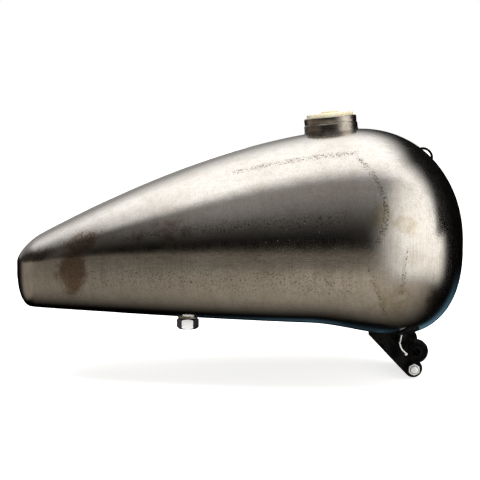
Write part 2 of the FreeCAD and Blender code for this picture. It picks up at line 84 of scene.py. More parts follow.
LOWER_NOSE_POWER = 2.6
TUNNEL_NOSE_HALF = 36.0
TUNNEL_TAIL_HALF = 28.0
TUNNEL_NOSE_TOP = 150.0
TUNNEL_TAIL_TOP = 120.0

NECK_X = -110.0
NECK_TILT = 5.5
NECK_RADIUS = 35.0
NECK_HEIGHT = 19.5

STATIONS = 340           # cross-sections of the skin mesh
SECTION_POINTS = 150     # points from the tunnel's edge to the ridge
DENT_DEPTH = 0.22        # hand-finished sheet is never quite fair
DENT_LENGTH = 85.0


def blend(share, start, end):
    return start + (end - start) * share


def clamp01(value):
    return min(max(value, 0.0), 1.0)


def round_off(distance, length, power):
    """Superellipse fall from 1 to 0 as distance runs from 0 to length."""
    return (1.0 - clamp01(distance / length) ** power) ** (1.0 / power)


def along(x):
    return clamp01((x - TAIL_X) / (NOSE_X - TAIL_X))


def belt_height(x):
    return BELT_NOSE_Z - (BELT_NOSE_Z - BELT_TAIL_Z) * (1.0 - along(x)) ** BELT_POWER


def ridge_rise(x):
    fall = RIDGE_FALL * max(0.0, PEAK_X - x) ** RIDGE_POWER
    nose = round_off(x - PEAK_X, NOSE_X - PEAK_X, NOSE_TOP_POWER)
    tail = round_off(TAIL_X + TAIL_TOP_ROUND - x, TAIL_TOP_ROUND, TAIL_POWER)
    return (PEAK_Z - fall - belt_height(x)) * nose * tail


def keel_drop(x):
    share = clamp01((x - BELLY_START_X) / (BELLY_END_X - BELLY_START_X))
    belly = BELLY_DROP * share * share * (3.0 - 2.0 * share)
    keel = blend(along(x), KEEL_TAIL_Z, KEEL_NOSE_Z) - belly
    nose = round_off(x - NOSE_KEEL_X, NOSE_X - NOSE_KEEL_X, NOSE_KEEL_POWER)
    tail = round_off(TAIL_X + TAIL_KEEL_ROUND - x, TAIL_KEEL_ROUND, TAIL_POWER)
    return (belt_height(x) - keel) * nose * tail


def half_width(x):
    share = clamp01((x - TAIL_X) / (HALF_WIDTH_X - TAIL_X))
    width = HALF_WIDTH - (HALF_WIDTH - TAIL_HALF_WIDTH) * (1.0 - share) ** PLAN_POWER
    nose = round_off(x - HALF_WIDTH_X, NOSE_X - HALF_WIDTH_X, NOSE_PLAN_POWER)
    tail = round_off(TAIL_X + TAIL_PLAN_ROUND - x, TAIL_PLAN_ROUND, TAIL_POWER)
    return width * nose * tail


def tunnel_half(x):
    share = (x - TAIL_X) / (NOSE_X - TAIL_X)
    return blend(share, TUNNEL_TAIL_HALF, TUNNEL_NOSE_HALF)


def tunnel_top(x):
    share = (x - TAIL_X) / (NOSE_X - TAIL_X)
    return blend(share, TUNNEL_TAIL_TOP, TUNNEL_NOSE_TOP)


def section(x):
    """Distance from the symmetry plane and height along half a cross-section, keel to ridge."""
    steps = np.linspace(0.0, 1.0, 260)
    lower = blend(along(x) ** 3, LOWER_TAIL_POWER, LOWER_NOSE_POWER)
    width = half_width(x)
    halves = []
    for power, reach, way in ((lower, keel_drop(x), -1.0), (CROWN_POWER, ridge_rise(x), 1.0)):
        spread = 0.5 * power
        turn = steps ** spread / (steps ** spread + (1.0 - steps) ** spread)
        angle = 0.5 * math.pi * turn
        out = width * np.clip(np.cos(angle), 0.0, 1.0) ** (2.0 / power)
        up = belt_height(x) + way * reach * np.sin(angle) ** (2.0 / power)
        halves.append((out, up))
    out = np.concatenate([halves[0][0][::-1], halves[1][0][1:]])
    up = np.concatenate([halves[0][1][::-1], halves[1][1][1:]])
    return out, up


def trimmed_section(x, count):
    """The cross-section from the tunnel's wall to the ridge, as evenly spaced points."""
    out, up = section(x)
    half = tunnel_half(x)
    spring = tunnel_top(x) - half
    roof = spring + np.sqrt(np.clip(half ** 2 - out ** 2, 0.0, None))
    depth = np.where(out < half, roof - up, half - out)     # above 0 inside the tunnel
    inside = np.nonzero(depth > 0.0)[0]
    if len(inside):
        last = min(inside[-1], len(out) - 2)
        share = clamp01(depth[last] / max(depth[last] - depth[last + 1], 1e-9))
        first_out = blend(share, out[last], out[last + 1])
        first_up = blend(share, up[last], up[last + 1])
        out = np.concatenate([[first_out], out[last + 1:]])
        up = np.concatenate([[first_up], up[last + 1:]])
    steps = np.hypot(np.diff(out), np.diff(up))
    run = np.concatenate([[0.0], np.cumsum(steps)])
    places = np.linspace(0.0, run[-1], count)
    belt_run = np.interp(belt_height(x), up, run)
    return np.interp(places, run, out), np.interp(places, run, up), places - belt_run


def ridge_meets_tunnel(inner_x, outer_x):
    """X at which the ridge drops to the tunnel's roof, near one end of the tank."""
    for _ in range(60):
        middle = 0.5 * (inner_x + outer_x)
        if belt_height(middle) + ridge_rise(middle) > tunnel_top(middle):
            inner_x = middle
        else:
            outer_x = middle
    return inner_x


def neck_axis():
    lean = math.radians(NECK_TILT)
    return Vector((-math.sin(lean), 0.0, math.cos(lean)))


def neck_point(height):
    base = Vector((NECK_X, 0.0, belt_height(NECK_X) + ridge_rise(NECK_X)))
    return base + neck_axis() * height


def axis_of(node):
    """Middle of a CAD node's box, in millimetres."""
    low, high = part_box(node)
    return (low + high) * (0.5 / MM)


def distance_from_axis(points, origin, direction):
    offset = points - np.array(origin)
    axis = np.array(direction)
    along_axis = offset @ axis
    return np.linalg.norm(offset - along_axis[:, None] * axis, axis=1)


# ---- mesh helpers -------------------------------------------------------------------------------

def new_object(name, verts, faces, smooth_angle=40.0):
    mesh = bpy.data.meshes.new(name)
    mesh.from_pydata([Vector(v) * MM for v in verts], [], faces)
    mesh.validate()
    obj = bpy.data.objects.new(name, mesh)
    bpy.context.scene.collection.objects.link(obj)
    shade(obj, smooth_angle)
    return obj


def shade(obj, smooth_angle):
    for polygon in obj.data.polygons:
        polygon.use_smooth = True
    obj.data.set_sharp_from_angle(angle=math.radians(smooth_angle))


def apply_modifiers(obj, smooth_angle=40.0):
    depsgraph = bpy.context.evaluated_depsgraph_get()
    mesh = bpy.data.meshes.new_from_object(obj.evaluated_get(depsgraph))
    obj.modifiers.clear()
    obj.data = mesh
    shade(obj, smooth_angle)


def grid_faces(rows, columns, closed=False):
    faces = []
    span = columns if closed else columns - 1
    for i in range(rows - 1):
        for j in range(span):
            k = (j + 1) % columns
            faces.append((i * columns + j, i * columns + k, (i + 1) * columns + k, (i + 1) * columns + j))
    return faces


def lathe(name, profile, origin, direction, segments=160):
    """Closed ring or disc turned from (radius, height) corners about an axis."""
    turn = Vector((0, 0, 1)).rotation_difference(direction).to_matrix()
    verts = []
    for radius, height in profile:
        for j in range(segments):
            angle = 2.0 * math.pi * j / segments
            local = Vector((radius * math.cos(angle), radius * math.sin(angle), height))
            verts.append(turn @ local + origin)
    count = len(profile)
    faces = []
    for i in range(count):
        n = (i + 1) % count
        for j in range(segments):
            k = (j + 1) % segments
            faces.append((i * segments + j, i * segments + k, n * segments + k, n * segments + j))
    obj = new_object(name, verts, faces)
    weld_points(obj, 0.01)
    return obj


def weld_points(obj, distance):
    bm = bmesh.new()
    bm.from_mesh(obj.data)
    bmesh.ops.remove_doubles(bm, verts=bm.verts, dist=distance * MM)
    bmesh.ops.dissolve_degenerate(bm, edges=bm.edges, dist=0.5 * distance * MM)
    bmesh.ops.recalc_face_normals(bm, faces=bm.faces)
    bm.to_mesh(obj.data)
    bm.free()
    shade(obj, 40.0)


def arc(centre, radius, start, end, steps=8):
    """Points on a rounded corner of a profile, angles in degrees."""
    points = []
    for i in range(steps + 1):
        angle = math.radians(blend(i / steps, start, end))
        points.append((centre[0] + radius * math.cos(angle), centre[1] + radius * math.sin(angle)))
    return points


def path_frames(points, closed):
    """Tangent, side and up at each point of a path, turning as little as possible."""
    count = len(points)
    frames = []
    side = None
    for i, point in enumerate(points):
        ahead = points[(i + 1) % count] if closed or i + 1 < count else point
        behind = points[i - 1] if closed or i > 0 else point
        tangent = (ahead - behind).normalized()
        if side is None:
            side = tangent.orthogonal().normalized()
        side = (side - tangent * side.dot(tangent)).normalized()
        frames.append((tangent, side, tangent.cross(side)))
    return frames


def tube(name, points, radius, closed=False, ripple=0.0, ripple_length=3.0, around=14, seed=0):
    """Round bar along a path. With ripple it is a weld bead: rows of small overlapping crescents."""
    frames = path_frames(points, closed)
    verts = []
    run = 0.0
    for i, (point, (_, side, up)) in enumerate(zip(points, frames)):
        if i:
            run += (point - points[i - 1]).length
        uneven = noise.noise(Vector((run * 0.11, seed, 0.0))) * ripple
        for j in range(around):
            angle = 2.0 * math.pi * j / around
            # crescents trail behind the middle of the bead
            phase = (run + 0.55 * radius * math.cos(2.0 * angle)) / ripple_length
            scale = 1.0 + ripple * (0.35 * (2.0 * (phase % 1.0) - 1.0) + 0.8 * uneven)
            offset = (side * math.cos(angle) + up * math.sin(angle)) * radius * scale
            verts.append(point + offset)
    count = len(points)
    faces = grid_faces(count, around, closed=True)
    if closed:
        last = (count - 1) * around
        for j in range(around):
            k = (j + 1) % around
            faces.append((last + j, last + k, k, j))
    else:
        faces.append(tuple(reversed(range(around))))
        faces.append(tuple(range((count - 1) * around, count * around)))
    obj = new_object(name, verts, faces, 60.0)
    return obj


def smooth_path(knots, count):
    """Catmull-Rom curve through the knots, as evenly numbered points."""
    knots = [Vector(k) for k in knots]
    ends = [knots[0] * 2 - knots[1]] + knots + [knots[-1] * 2 - knots[-2]]
    points = []
    spans = len(knots) - 1
    for i in range(count):
        place = min(i / (count - 1) * spans, spans - 1e-9)
        k = int(place)
        t = place - k
        a, b, c, d = ends[k:k + 4]
        points.append(0.5 * (2 * b + (c - a) * t + (2 * a - 5 * b + 4 * c - d) * t ** 2
                             + (3 * b - a - 3 * c + d) * t ** 3))
    return points


# ---- node materials -----------------------------------------------------------------------------

class Tree:
    """Short-hand for building a material's node tree."""

    def __init__(self, name, world=False):
        if world:
            self.owner = bpy.data.worlds.new(name)
        else:
            self.owner = bpy.data.materials.new(name)
        self.owner.use_nodes = True
        self.nodes = self.owner.node_tree.nodes
        self.links = self.owner.node_tree.links
        self.nodes.clear()

    def add(self, kind, inputs=None, **settings):
        node = self.nodes.new(kind)
        for key, value in settings.items():
            setattr(node, key, value)
        for key, value in (inputs or {}).items():
            self.set(node.inputs[key], value)
        return node

    def set(self, socket, value):
        if isinstance(value, bpy.types.NodeSocket):
            self.links.new(value, socket)
        else:
            socket.default_value = value

    def math(self, operation, a, b=0.0, clamp=False):
        node = self.add("ShaderNodeMath", {0: a, 1: b}, operation=operation, use_clamp=clamp)
        return node.outputs[0]

    def fit(self, value, low, span):
        """low where value is 0, low + span where it is 1."""
        return self.math("ADD", self.math("MULTIPLY", value, span), low)

    def noise(self, vector, scale, detail=4.0, roughness=0.55, distortion=0.0):
        inputs = {"Vector": vector, "Scale": scale, "Detail": detail, "Roughness": roughness,
                  "Distortion": distortion}
        return self.add("ShaderNodeTexNoise", inputs).outputs["Fac"]

    def scaled(self, vector, scale):
        node = self.add("ShaderNodeVectorMath", {0: vector, 1: scale}, operation="MULTIPLY")
        return node.outputs[0]

    def step(self, value, low, high):
        """0 below low, 1 above high, smooth between."""
        node = self.add("ShaderNodeMapRange", {"Value": value, "From Min": low, "From Max": high},
                        interpolation_type="SMOOTHSTEP")
        return node.outputs["Result"]

    def mix(self, share, a, b, blend_type="MIX"):
        node = self.add("ShaderNodeMix", data_type="RGBA", blend_type=blend_type)
        self.set(node.inputs["Factor"], share)
        self.set(node.inputs["A"], (*a, 1.0) if isinstance(a, tuple) else a)
        self.set(node.inputs["B"], (*b, 1.0) if isinstance(b, tuple) else b)
        return node.outputs["Result"]

    def bump(self, height, strength, distance, normal=None):
        inputs = {"Height": height, "Strength": strength, "Distance": distance}
        if normal is not None:
            inputs["Normal"] = normal
        return self.add("ShaderNodeBump", inputs).outputs["Normal"]

    def glow(self, colour, amount):
        """A light's colour times how much of it is seen."""
        inputs = {0: colour, "Scale": amount}
        return self.add("ShaderNodeVectorMath", inputs, operation="SCALE").outputs[0]

    def position(self):
        return self.add("ShaderNodeTexCoord").outputs["Object"]

    def split(self, vector):
        node = self.add("ShaderNodeSeparateXYZ", {"Vector": vector})
        return node.outputs["X"], node.outputs["Y"], node.outputs["Z"]

    def finish(self, **inputs):
        shader = self.add("ShaderNodeBsdfPrincipled",
                          {key.replace("_", " "): value for key, value in inputs.items()})
        self.add("ShaderNodeOutputMaterial", {"Surface": shader.outputs["BSDF"]})
        return self.owner


RUST = (0.17, 0.095, 0.055)
OIL = (0.06, 0.045, 0.035)
STRAW = (0.38, 0.31, 0.18)
# colour of the dark reflection painted on the belly and along the low edge
PAINTED_DARK_REFLECTION = (0.015, 0.012, 0.01)


def soft_step(value, low, high):
    share = np.clip((value - low) / (high - low), 0.0, 1.0)
    return share * share * (3.0 - 2.0 * share)


def near(value, wanted, reach):
    """One at the wanted value, fading to nothing at the reach."""
    return 1.0 - soft_step(np.abs(value - wanted), 0.25 * reach, reach)


def span(value, low, high, fade):
    return soft_step(value, low - fade, low) * (1.0 - soft_step(value, high, high + fade))


class Layer:
    """A colour and an amount for each point, which marks are laid over one by one."""

    def __init__(self, count):
        self.colour = np.zeros((count, 3))
        self.amount = np.zeros(count)

    def lay(self, amount, colour):
        share = (amount / (amount + self.amount + 1e-6))[:, None]
        self.colour = self.colour * (1.0 - share) + np.array(colour) * share
        self.amount = np.maximum(self.amount, amount)

    def store(self, obj, name):
        attribute = obj.data.attributes.new(name, "FLOAT_COLOR", "POINT")
        attribute.data.foreach_set("color", np.column_stack([self.colour, self.amount]).ravel())


def form_shares(places):
    """Share of the length from tail to nose, and of the height: -1 keel, 0 belt, 1 ridge."""
    lengths = np.array([along(x) for x in places[:, 0]])
    belts = np.array([belt_height(x) for x in places[:, 0]])
    rises = np.array([max(ridge_rise(x), 1.0) for x in places[:, 0]])
    drops = np.array([max(keel_drop(x), 1.0) for x in places[:, 0]])
    above = places[:, 2] - belts
    heights = np.where(above > 0.0, above / rises, above / drops)
    return lengths, heights


def lay_marks(obj):
    """Stains, a painted dark reflection, scratches and pits, placed by shares of the tank's length and
    height.

    Most lie close to marks that were measured on the photograph.
    """
    count = len(obj.data.vertices)
    places = np.empty(count * 3)
    obj.data.vertices.foreach_get("co", places)
    places = places.reshape(-1, 3) / MM
    length, height = form_shares(places)
    # fainter on the left flank
    side = np.where(places[:, 1] < 0.0, 1.0, 0.35)
    stains_and_painted_reflection = Layer(count)
    scores = Layer(count)

    def patch(at, reach):
        """Fades outward from a place, both given as shares of length and height."""
        return 1.0 - soft_step(np.hypot((length - at[0]) / reach[0], (height - at[1]) / reach[1]), 0.3, 1.2)

    # rust and oil near the tail, oil at its tip, straw tint at the nose's shoulder
    stains_and_painted_reflection.lay(0.8 * side * patch((0.145, -0.22), (0.042, 0.5)), RUST)
    stains_and_painted_reflection.lay(0.6 * side * patch((0.165, 0.35), (0.05, 0.3)), RUST)
    stains_and_painted_reflection.lay(0.7 * side * patch((0.06, 0.25), (0.06, 0.25)), OIL)
    stains_and_painted_reflection.lay(0.3 * side * patch((0.33, 0.3), (0.1, 0.25)), RUST)
    stains_and_painted_reflection.lay(0.45 * side * patch((0.79, 0.3), (0.03, 0.18)), STRAW)
    stains_and_painted_reflection.lay(0.4 * side * patch((0.84, 0.25), (0.05, 0.1)), STRAW)
    stains_and_painted_reflection.lay(0.3 * side * patch((0.82, -0.5), (0.06, 0.3)), STRAW)
    stains_and_painted_reflection.lay(0.6 * side * patch((0.91, -0.55), (0.03, 0.2)), OIL)
    # painted dark reflection on the belly beside the bracket and along the low edge
    stains_and_painted_reflection.lay(1.0 * side * patch((0.77, -0.86), (0.07, 0.1)), PAINTED_DARK_REFLECTION)
    stains_and_painted_reflection.lay(0.8 * side * span(length, 0.05, 0.7, 0.05) * near(height, -0.99, 0.09), PAINTED_DARK_REFLECTION)

    # scratches: along the shoulder, round the edge of the nose's bulge, then below the belt
    scores.lay(0.55 * side * span(length, 0.5, 0.73, 0.05) * near(height, 0.8, 0.035), OIL)
    bulge = 0.80 - 0.3 * (height - 0.35) ** 2
    scores.lay(0.6 * side * near(length, bulge, 0.012) * span(height, 0.1, 0.75, 0.05), OIL)
    below_belt = 0.755 - 0.07 * height
    scores.lay(0.5 * side * near(length, below_belt, 0.009) * span(height, -0.65, -0.15, 0.05), OIL)
    forward = 0.845 + 0.03 * height
    scores.lay(0.5 * side * near(length, forward, 0.009) * span(height, -0.4, 0.05, 0.06), OIL)
    scores.lay(0.4 * side * span(length, 0.1, 0.35, 0.05) * near(height, -0.03, 0.03), RUST)
    # faint bands of pits along the flank, denser at the two ends
    scores.lay(0.42 * side * span(length, 0.25, 0.7, 0.08) * near(height, 0.28, 0.12), OIL)
    scores.lay(0.36 * side * span(length, 0.2, 0.72, 0.08) * near(height, -0.35, 0.3), OIL)
    scores.lay(0.55 * side * patch((0.17, 0.42), (0.07, 0.2)), RUST)
    scores.lay(0.55 * side * patch((0.93, 0.4), (0.035, 0.25)), OIL)
    stains_and_painted_reflection.store(obj, "stains_and_painted_reflection")
    scores.store(obj, "scores")


def skin_steel():
    """Bare sheet steel: cross-brushed grain, pits, oil stains, scratches and a dark reflection painted on the
    belly and low edge.
    """
    tree = Tree("bare_skin_steel")
    place = tree.position()
    cloud = tree.noise(place, 14.0, 5.0, 0.6)
    mottle = tree.noise(place, 55.0, 6.0, 0.65, 0.6)
    grit = tree.noise(place, 480.0, 4.0, 0.75)
    speck = tree.noise(place, 1100.0, 2.0, 0.7)
    upright = tree.noise(tree.scaled(place, (520.0, 520.0, 30.0)), 1.0, 4.0, 0.65)
    broad_upright = tree.noise(tree.scaled(place, (110.0, 110.0, 9.0)), 1.0, 3.0, 0.6)
    lengthwise = tree.noise(tree.scaled(place, (14.0, 300.0, 300.0)), 1.0, 3.0, 0.6)

    colour = tree.mix(tree.step(cloud, 0.3, 0.7), (0.68, 0.665, 0.64), (0.61, 0.585, 0.55))
    colour = tree.mix(tree.math("MULTIPLY", tree.step(mottle, 0.42, 0.72), 0.40), colour, (0.48, 0.44, 0.39))
    brushed = tree.math("MULTIPLY", tree.step(broad_upright, 0.46, 0.74), 0.20)
    colour = tree.mix(brushed, colour, (0.38, 0.34, 0.29))
    drawn = tree.math("MULTIPLY", tree.step(lengthwise, 0.5, 0.75), 0.16)
    colour = tree.mix(drawn, colour, (0.32, 0.28, 0.24))
    colour = tree.mix(tree.math("MULTIPLY", tree.step(upright, 0.44, 0.70), 0.24), colour, (0.28, 0.25, 0.22))
    colour = tree.mix(tree.math("MULTIPLY", tree.step(speck, 0.50, 0.72), 0.42), colour, (0.24, 0.215, 0.19))
    colour = tree.mix(tree.math("MULTIPLY", tree.step(grit, 0.60, 0.76), 0.45), colour, (0.18, 0.14, 0.11))

    # stains and the painted dark reflection with uneven edges, then scratches that show where the grit stands
    # up
    stains_and_painted_reflection = tree.add("ShaderNodeAttribute", attribute_name="stains_and_painted_reflection").outputs
    edge = tree.math("ADD", stains_and_painted_reflection["Alpha"], tree.fit(mottle, -0.70, 1.40))
    mask = tree.math("MULTIPLY", tree.step(edge, 0.05, 0.75), tree.step(stains_and_painted_reflection["Alpha"], 0.0, 0.30))
    mask = tree.math("MULTIPLY", mask, tree.fit(grit, 0.25, 1.1), clamp=True)
    colour = tree.mix(mask, colour, stains_and_painted_reflection["Color"])
    scores = tree.add("ShaderNodeAttribute", attribute_name="scores").outputs
    level = tree.math("ADD", grit, tree.math("MULTIPLY", scores["Alpha"], 0.13))
    mask = tree.math("MULTIPLY", tree.step(scores["Alpha"], 0.0, 0.6), tree.step(level, 0.56, 0.68))
    colour = tree.mix(mask, colour, scores["Color"])

    # scattered pits
    cells = tree.add("ShaderNodeTexVoronoi", {"Vector": place, "Scale": 150.0, "Randomness": 1.0})
    patch = tree.step(tree.noise(place, 9.0, 3.0, 0.5), 0.50, 0.66)
    pit = tree.math("SUBTRACT", 1.0, tree.step(cells.outputs["Distance"], 0.03, 0.11))
    pit = tree.math("MULTIPLY", pit, patch)
    colour = tree.mix(tree.math("MULTIPLY", pit, 0.7), colour, (0.07, 0.05, 0.04))

    rough = tree.math("ADD", tree.fit(mottle, 0.10, 0.10), tree.fit(upright, -0.02, 0.05))
    # darker marks are duller
    brightness = tree.add("ShaderNodeRGBToBW", {"Color": colour}).outputs["Val"]
    rough = tree.math("ADD", rough, tree.fit(brightness, 0.12, -0.18), clamp=True)
    grain = tree.math("ADD", tree.math("MULTIPLY", upright, 0.6), tree.math("MULTIPLY", lengthwise, 0.4))
    normal = tree.bump(grain, 0.10, 0.0003)
    normal = tree.bump(speck, 0.12, 0.00025, normal)
    normal = tree.bump(tree.math("MULTIPLY", pit, -1.0), 0.5, 0.0004, normal)
    normal = tree.bump(cloud, 0.12, 0.0025, normal)
    return tree.finish(Base_Color=colour, Metallic=1.0, Roughness=rough, Anisotropic=0.2, Normal=normal)


def plain_metal(name, light, dark, roughness, metallic=1.0, scale=60.0, bump=0.15, speckle=0.3):
    """Metal with cloudy colour, fine specks and a slightly uneven surface."""
    tree = Tree(name)
    place = tree.position()
    cloud = tree.noise(place, scale, 5.0, 0.6, 0.4)
    speck = tree.noise(place, scale * 16.0, 2.0, 0.7)
    colour = tree.mix(tree.step(cloud, 0.3, 0.7), light, dark)
    shadow = tuple(0.45 * c for c in dark)
    colour = tree.mix(tree.math("MULTIPLY", tree.step(speck, 0.5, 0.75), speckle), colour, shadow)
    rough = tree.fit(cloud, roughness - 0.09, 0.18)
    normal = tree.bump(speck, bump, 0.0003)
    normal = tree.bump(cloud, bump, 0.001, normal)
    return tree.finish(Base_Color=colour, Metallic=metallic, Roughness=rough, Normal=normal)


def nut_with_painted_light():
    """Plated hexagon with painted highlight and shade: bright on the faces square across the bike, dark on
    the others.
    """
    tree = Tree("plated_nut_painted_light")
    place = tree.position()
    cloud = tree.noise(place, 150.0, 4.0, 0.6)
    speck = tree.noise(place, 1600.0, 2.0, 0.7)
    facing = tree.split(tree.add("ShaderNodeNewGeometry").outputs["Normal"])[1]
    # painted highlight on the faces square across the bike, painted shade on the rest
    lit = tree.step(tree.math("ABSOLUTE", facing), 0.62, 0.90)
    painted_highlight = tree.mix(cloud, (0.95, 0.95, 0.94), (0.78, 0.79, 0.80))
    painted_shade = tree.mix(cloud, (0.035, 0.038, 0.045), (0.012, 0.012, 0.014))
    colour = tree.mix(lit, painted_shade, painted_highlight)
    colour = tree.mix(tree.math("MULTIPLY", tree.step(speck, 0.5, 0.75), 0.12), colour, (0.30, 0.29, 0.28))
    return tree.finish(Base_Color=colour, Metallic=0.3, Roughness=tree.fit(cloud, 0.16, 0.14),
                       Normal=tree.bump(speck, 0.06, 0.0003))


def painted_black():
    """Satin black paint with worn corners and dust."""
    tree = Tree("satin_black_paint")
    place = tree.position()
    cloud = tree.noise(place, 70.0, 5.0, 0.6, 0.3)
    orange_peel = tree.noise(place, 1400.0, 2.0, 0.5)
    dust = tree.noise(place, 420.0, 3.0, 0.7)
    corner = tree.add("ShaderNodeNewGeometry").outputs["Pointiness"]
    worn = tree.math("MULTIPLY", tree.step(corner, 0.57, 0.68), tree.step(cloud, 0.45, 0.62))
    colour = tree.mix(cloud, (0.0008, 0.0008, 0.001), (0.0022, 0.002, 0.0022))
    colour = tree.mix(tree.math("MULTIPLY", tree.step(dust, 0.6, 0.8), 0.4), colour, (0.007, 0.0065, 0.006))
    colour = tree.mix(tree.math("MULTIPLY", worn, 0.3), colour, (0.05, 0.047, 0.045))
    return tree.finish(Base_Color=colour, Roughness=tree.fit(cloud, 0.28, 0.2), Specular_IOR_Level=0.05,
                       Normal=tree.bump(orange_peel, 0.12, 0.0002),
                       Metallic=tree.math("MULTIPLY", worn, 0.5))


def moulded_rubber():
    tree = Tree("moulded_rubber")
    place = tree.position()
    cloud = tree.noise(place, 120.0, 4.0, 0.6)
    skin = tree.noise(place, 2200.0, 2.0, 0.6)
    colour = tree.mix(cloud, (0.0015, 0.0015, 0.0018), (0.004, 0.0038, 0.0038))
    return tree.finish(Base_Color=colour, Roughness=tree.fit(cloud, 0.62, 0.15), Specular_IOR_Level=0.04,
                       Normal=tree.bump(skin, 0.2, 0.0003))


def cream_plastic():
    """Moulded polythene: slightly waxy, with flow clouds and fine scuffs."""
    tree = Tree("cream_plastic")
    place = tree.position()
    cloud = tree.noise(place, 45.0, 4.0, 0.5, 0.8)
    scuff = tree.noise(tree.scaled(place, (900.0, 160.0, 900.0)), 1.0, 3.0, 0.7)
    colour = tree.mix(cloud, (0.78, 0.71, 0.54), (0.66, 0.58, 0.40))
    colour = tree.mix(tree.math("MULTIPLY", tree.step(scuff, 0.6, 0.8), 0.25), colour, (0.50, 0.42, 0.28))
    return tree.finish(Base_Color=colour, Roughness=tree.fit(scuff, 0.38, 0.2), Subsurface_Weight=0.2,
                       Subsurface_Scale=0.004, Normal=tree.bump(scuff, 0.12, 0.0003))


def fibre():
    tree = Tree("vulcanised_fibre")
    place = tree.position()
    strands = tree.noise(tree.scaled(place, (500.0, 2500.0, 2500.0)), 1.0, 3.0, 0.6)
    colour = tree.mix(strands, (0.36, 0.09, 0.05), (0.22, 0.05, 0.03))
    return tree.finish(Base_Color=colour, Roughness=0.65, Normal=tree.bump(strands, 0.2, 0.0003))


# ---- pieces -------------------------------------------------------------------------------------

def skin_half(name, side):
    """One pressed half of the skin: side -1 is the rider's right, +1 the left."""
    nose_end = ridge_meets_tunnel(0.0, NOSE_X)
    tail_end = ridge_meets_tunnel(-300.0, TAIL_X)
    rows = []
    for i in range(STATIONS):
        turn = math.pi * i / (STATIONS - 1)
        x = blend(0.5 - 0.5 * math.cos(turn), tail_end, nose_end)
        out, up, _ = trimmed_section(x, SECTION_POINTS)
        rows.append(np.column_stack([np.full(SECTION_POINTS, x), side * out, up]))
    points = np.concatenate(rows)
    faces = grid_faces(STATIONS, SECTION_POINTS)
    if side > 0:
        faces = [tuple(reversed(face)) for face in faces]
    centres = np.array([points[list(face)].mean(axis=0) for face in faces])
    # openings under the neck and above the spud end inside their walls
    keep = distance_from_axis(centres, neck_point(0.0), neck_axis()) > 0.91 * NECK_RADIUS
    keep |= centres[:, 2] < BELT_NOSE_Z
    if side < 0:
        spud = axis_of("tap_spud")
        keep &= (distance_from_axis(centres, spud, (0, 0, 1)) > 10.8) | (centres[:, 2] > BELT_NOSE_Z)
    faces = [face for face, kept in zip(faces, keep) if kept]
    obj = new_object(name, points.tolist(), faces)
    clean_sheet(obj)
    lay_marks(obj)
    dent(obj)
    thicken = obj.modifiers.new("sheet", "SOLIDIFY")
    thicken.thickness = SHEET * MM
    thicken.offset = -1.0
    apply_modifiers(obj)
    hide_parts("right_shell" if side < 0 else "left_shell")
    return obj


def clean_sheet(obj):
    """Merges the rows that shrink to a point and drops loose points."""
    bm = bmesh.new()
    bm.from_mesh(obj.data)
    bmesh.ops.remove_doubles(bm, verts=bm.verts, dist=0.004 * MM)
    bmesh.ops.dissolve_degenerate(bm, edges=bm.edges, dist=0.002 * MM)
    loose = [vert for vert in bm.verts if not vert.link_faces]
    bmesh.ops.delete(bm, geom=loose, context="VERTS")
    bm.to_mesh(obj.data)
    bm.free()


def dent(obj):
    """Slow, shallow waves of a hand-finished panel."""
    mesh = obj.data
    count = len(mesh.vertices)
    places = np.empty(count * 3)
    normals = np.empty(count * 3)
    mesh.vertices.foreach_get("co", places)
    mesh.vertices.foreach_get("normal", normals)
    places = places.reshape(-1, 3)
    depths = []
    for place in places:
        wave = Vector(place) / (DENT_LENGTH * MM)
        depths.append(noise.noise(wave) + 0.45 * noise.noise(wave * 2.3))
    places += normals.reshape(-1, 3) * (np.array(depths) * DENT_DEPTH * MM)[:, None]
    mesh.vertices.foreach_set("co", places.ravel())
    mesh.update()


def filler_neck():
    """Turned neck with a rolled rim, a step at mid height and a flared foot."""
    bore = NECK_RADIUS - 3.7
    seat = NECK_HEIGHT - 9.0
    rim = 1.85
    rim_centre = (NECK_RADIUS - rim, NECK_HEIGHT - rim)
    profile = [(27.0, -12.0), (35.0, -12.0), (35.0, -8.0), (36.3, -8.0), (36.3, 0.2)]
    profile += [(36.0, 1.2), (35.75, 3.0), (35.7, 8.8), (35.5, 9.6)]
    profile += [(34.8, 10.2), (34.6, 10.7), (34.8, 11.3)]
    profile += arc(rim_centre, rim, 0.0, 180.0, 14)
    profile += [(bore, NECK_HEIGHT - 2 * rim), (bore, seat + 0.6), (bore - 0.6, seat)]
    profile += [(27.4, seat), (27.0, seat - 0.4)]
    obj = lathe("neck", profile, neck_point(0.0), neck_axis())
    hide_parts("filler_neck")
    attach(obj, "tank")
    return obj


def filler_plug():
    """Moulded plug: hollow underneath, dished top with a raised round pull and a parting ridge."""
    radius = 31.15
    top = NECK_HEIGHT + 5.0
    seat = NECK_HEIGHT - 9.0
    wall = 2.5
    profile = [(0.0, top - wall - 0.8), (radius - wall - 1.5, top - wall - 0.8)]
    profile += arc((radius - wall - 1.5, top - wall - 2.3), 1.5, 90.0, 0.0, 4)
    profile += [(radius - wall, seat), (radius - 0.5, seat), (radius, seat + 0.5)]
    profile += [(radius, NECK_HEIGHT + 0.6), (radius - 0.35, NECK_HEIGHT + 1.0), (radius, NECK_HEIGHT + 1.4)]
    profile += arc((radius - 1.2, top - 1.2), 1.2, 0.0, 90.0, 6)
    profile += [(radius - 4.0, top), (radius - 5.0, top - 0.8), (12.6, top - 0.8)]
    profile += arc((12.6, top + 0.4), 1.2, 270.0, 180.0, 5)
    profile += [(11.4, top + 1.6)]
    profile += arc((10.2, top + 1.8), 1.2, 0.0, 90.0, 6)
    profile += [(0.0, top + 3.0)]
    obj = lathe("plug", profile, neck_point(0.0), neck_axis())
    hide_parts("filler_plug")
    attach(obj, "plug")
    return obj


def boolean(obj, cutter, operation):
    modifier = obj.modifiers.new("cut", "BOOLEAN")
    modifier.operation = operation
    modifier.solver = "EXACT"
    modifier.object = cutter
    apply_modifiers(obj, 30.0)
    bpy.data.objects.remove(cutter)


